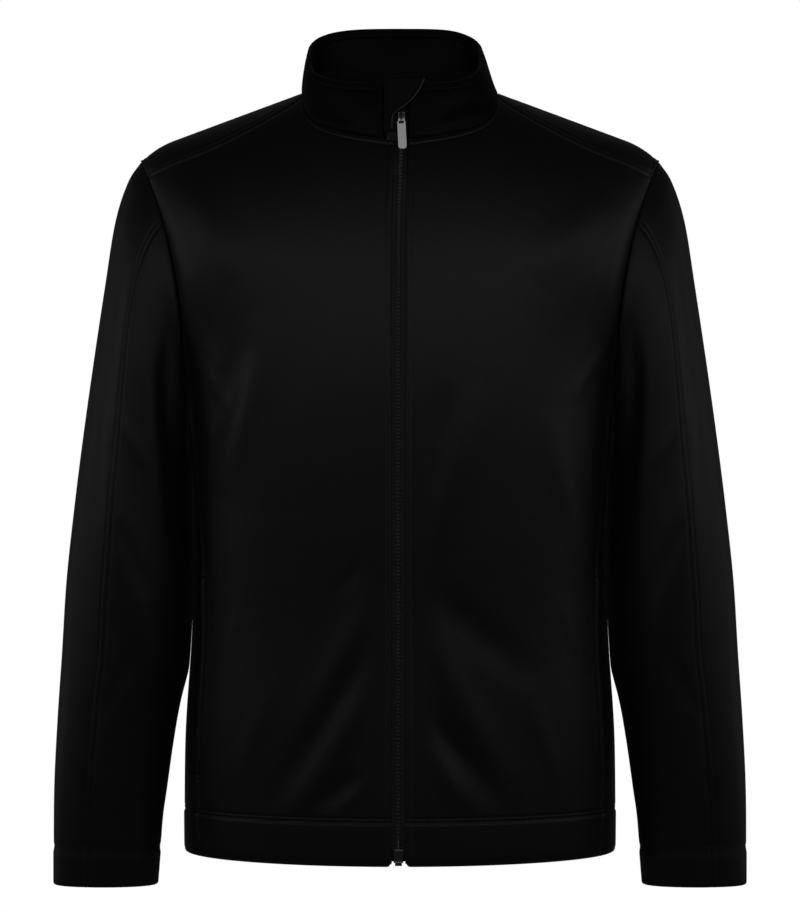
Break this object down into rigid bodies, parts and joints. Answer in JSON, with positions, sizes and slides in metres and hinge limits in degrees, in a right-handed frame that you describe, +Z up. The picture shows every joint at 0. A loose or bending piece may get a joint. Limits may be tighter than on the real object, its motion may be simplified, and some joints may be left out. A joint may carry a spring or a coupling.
{
  "type": "fleece jacket",
  "caption": "Smooth-faced fleece jacket with a stand collar, full front zip, seam pockets and turned-up hems, filled out as when worn.",
  "frame": {"origin": "middle of the neck opening at the height of the two shoulder-neck points, where the wearer's neck and shoulders hold the jacket up", "axes": "+Z up along the wearer's neck, the front of the jacket faces -Y, +X is the wearer's left"},
  "size_m": [0.6558, 0.2556, 0.8141],
  "materials": {
    "fleece": "smooth-faced knit with a soft satin sheen",
    "trim": "matt woven tape",
    "zip_coil": "dull nylon coil",
    "zip_metal": "black enamelled, satin",
    "pull_tab": "matt grey"
  },
  "bodies": {
    "jacket": {"front_right": "fleece", "front_left": "fleece", "back": "fleece", "collar": "fleece", "neck_tape": "trim", "zip_guard": "trim", "top_sleeve_right": "fleece", "top_sleeve_left": "fleece", "under_sleeve_right": "fleece", "under_sleeve_left": "fleece", "pocket_facing_right": "fleece", "pocket_facing_left": "fleece", "zip_tape_right": "trim", "zip_tape_left": "trim", "zip_coil": "zip_coil", "zip_coil_top_right": "zip_coil", "zip_coil_top_left": "zip_coil", "zip_bottom_box": "zip_metal", "zip_slider": "zip_metal"},
    "link": {"pull_link": "zip_metal"},
    "tab": {"pull_tab": "pull_tab"}
  },
  "joints": [
    {"name": "link_swing", "type": "hinge", "parent": "jacket", "child": "link", "pos_m": [0.0012, -0.08458, -0.02634], "axis": [-1, 0, 0], "range_deg": [0, 100]},
    {"name": "tab_swing", "type": "hinge", "parent": "link", "child": "tab", "pos_m": [0.0012, -0.08603, -0.03381], "axis": [-1, 0, 0], "range_deg": [0, 60]}
  ]
}
